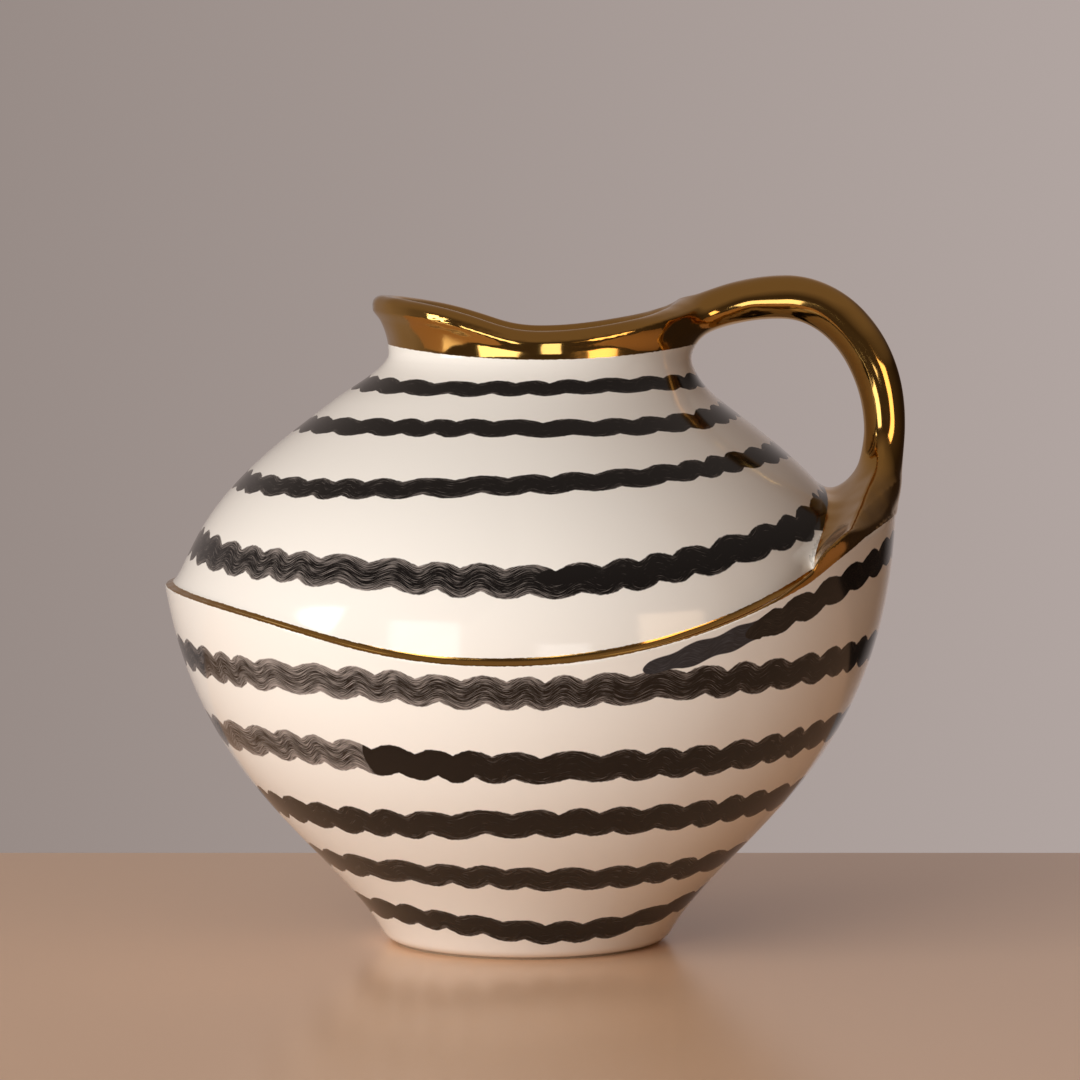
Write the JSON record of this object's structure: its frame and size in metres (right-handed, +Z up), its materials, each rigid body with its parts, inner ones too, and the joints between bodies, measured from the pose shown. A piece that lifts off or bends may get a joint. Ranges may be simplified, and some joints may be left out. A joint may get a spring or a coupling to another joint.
{
  "type": "water jug",
  "caption": "Wide ceramic water jug with a narrow flat foot, a shoulder stepped back from a slanted ledge, a saddle-shaped pouring rim and a looped side handle, for pouring water.",
  "frame": {"origin": "centre of the flat foot, on the table", "axes": "+Z up along the axis of the turned body, +X towards the handle and -X towards the pouring lip, +Y to the side away from the camera"},
  "size_m": [0.2774, 0.2634, 0.25],
  "materials": {
    "ivory_glaze": "glossy ivory glaze with black brushed stripes",
    "gold_lustre": "bright gold lustre fired over the glaze",
    "bare_clay": "dry unglazed stoneware",
    "luting_slip": "fired luting slip inside the joints"
  },
  "bodies": {
    "root": {"foot_disc": "bare_clay", "foot_slip": "luting_slip", "lower_bowl": "ivory_glaze", "shoulder_slip": "luting_slip", "shoulder": "ivory_glaze", "neck_slip": "luting_slip", "neck_collar": "ivory_glaze", "rim_slip": "luting_slip", "pouring_rim": "gold_lustre", "handle_slip": "luting_slip", "handle": "gold_lustre", "root_slip": "luting_slip", "ledge_band": "gold_lustre"}
  },
  "joints": []
}
